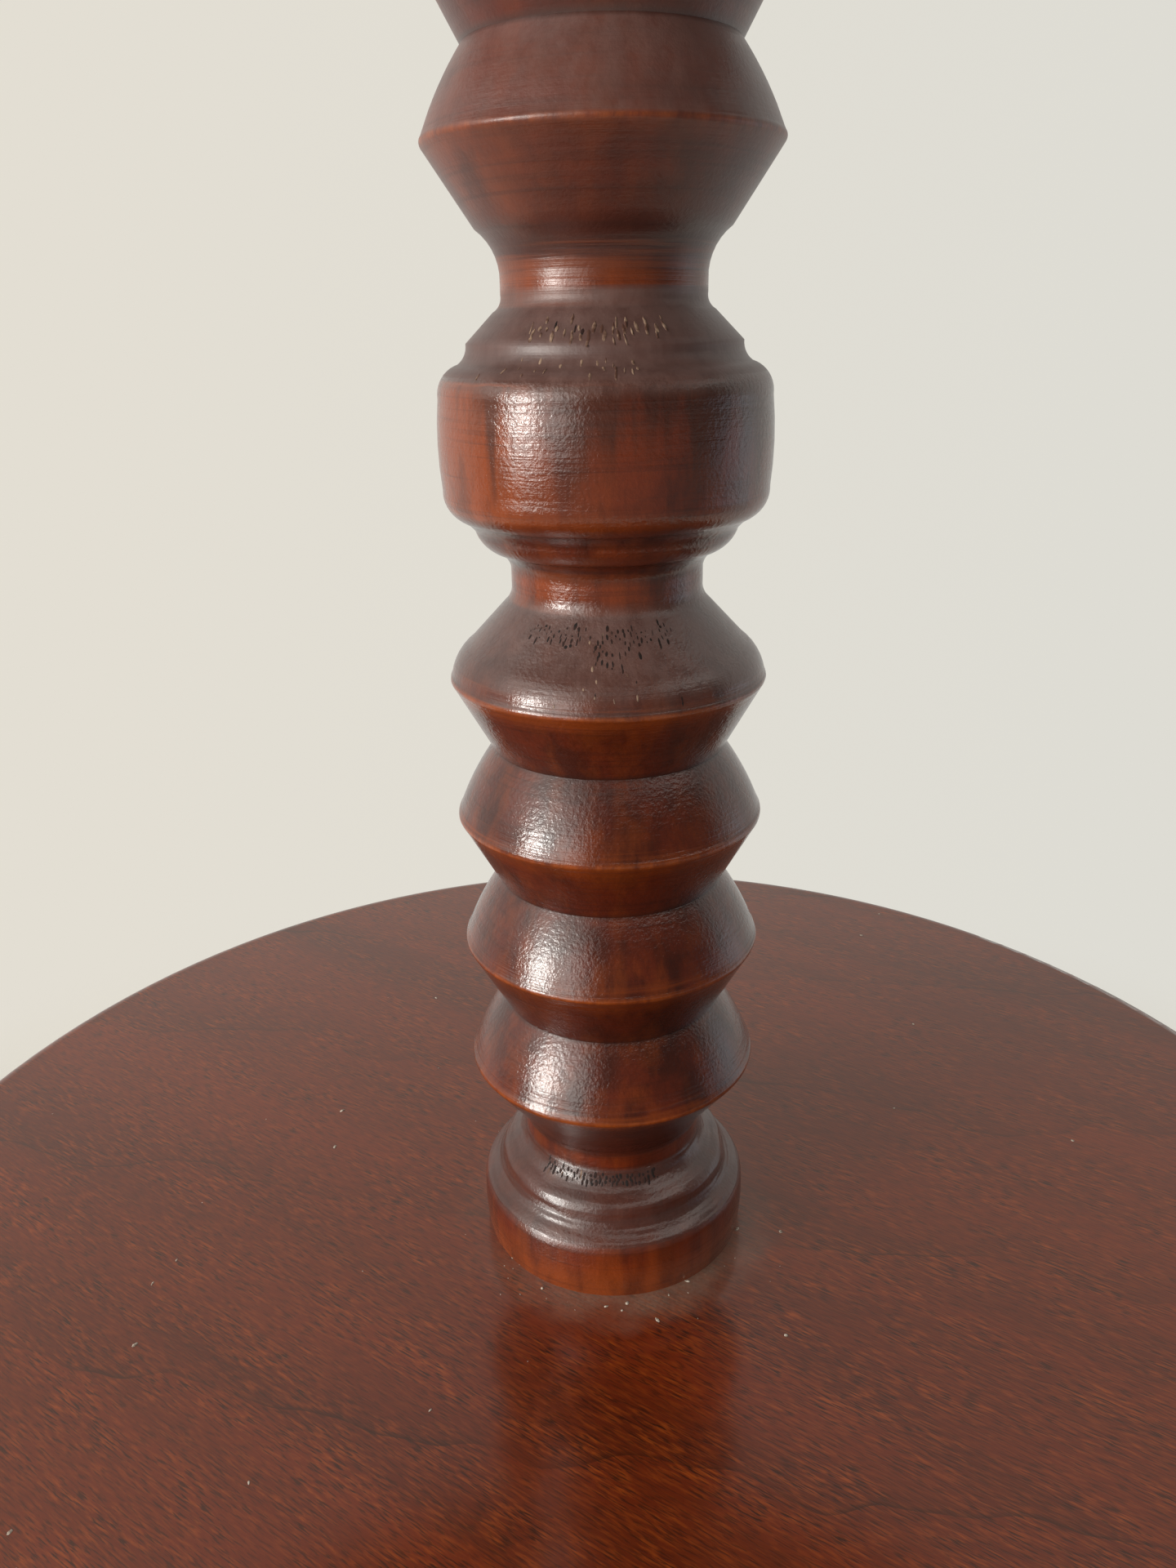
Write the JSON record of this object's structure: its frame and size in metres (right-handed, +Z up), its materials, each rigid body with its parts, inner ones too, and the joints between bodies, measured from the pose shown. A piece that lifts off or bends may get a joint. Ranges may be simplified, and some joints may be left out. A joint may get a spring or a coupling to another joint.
{
  "type": "tilt-top table",
  "caption": "Round two-tier tilt-top table: a turned bobbin column on a tripod carries a round shelf and a round top that tips upright on pins and locks with a slide bolt.",
  "frame": {"origin": "on the floor, under the column's axis", "axes": "+Z up along the column, -Y towards the front, where the slide bolt is"},
  "size_m": [0.4599, 0.46, 0.6734],
  "materials": {
    "mahogany_board": "satin lacquer",
    "stained_hardwood": "gloss lacquer over red-brown stain",
    "plain_hardwood": "thin stain, unpolished",
    "wedge_hardwood": "bare",
    "steel": "turned",
    "brass": "aged",
    "black_iron": "blackened",
    "felt": "felt"
  },
  "bodies": {
    "base": {"shelf": "mahogany_board", "upper_column": "stained_hardwood", "lower_column": "stained_hardwood", "leg_rear": "stained_hardwood", "leg_left": "stained_hardwood", "leg_right": "stained_hardwood", "pivot_block": "plain_hardwood", "tenon_wedge": "wedge_hardwood", "pivot_pin_left": "steel", "pivot_pin_right": "steel", "keeper_plate": "brass", "keeper_screws": "brass", "spider_plate": "black_iron", "spider_screws": "black_iron", "foot_pad_rear": "felt", "foot_pad_left": "felt", "foot_pad_right": "felt"},
    "top": {"tilt_top": "mahogany_board", "batten_left": "plain_hardwood", "batten_right": "plain_hardwood", "batten_screws": "brass", "bolt_plate": "brass", "bolt_plate_screws": "brass"},
    "bolt": {"slide_bolt": "brass", "bolt_knob": "brass"}
  },
  "joints": [
    {"name": "top_tilt", "type": "hinge", "parent": "base", "child": "top", "pos_m": [0, 0.038, 0.6361], "axis": [-1, 0, 0], "range_deg": [0, 90]},
    {"name": "bolt_slide", "type": "slide", "parent": "top", "child": "bolt", "axis": [0, 1, 0], "range_m": [0, 0.011]}
  ]
}
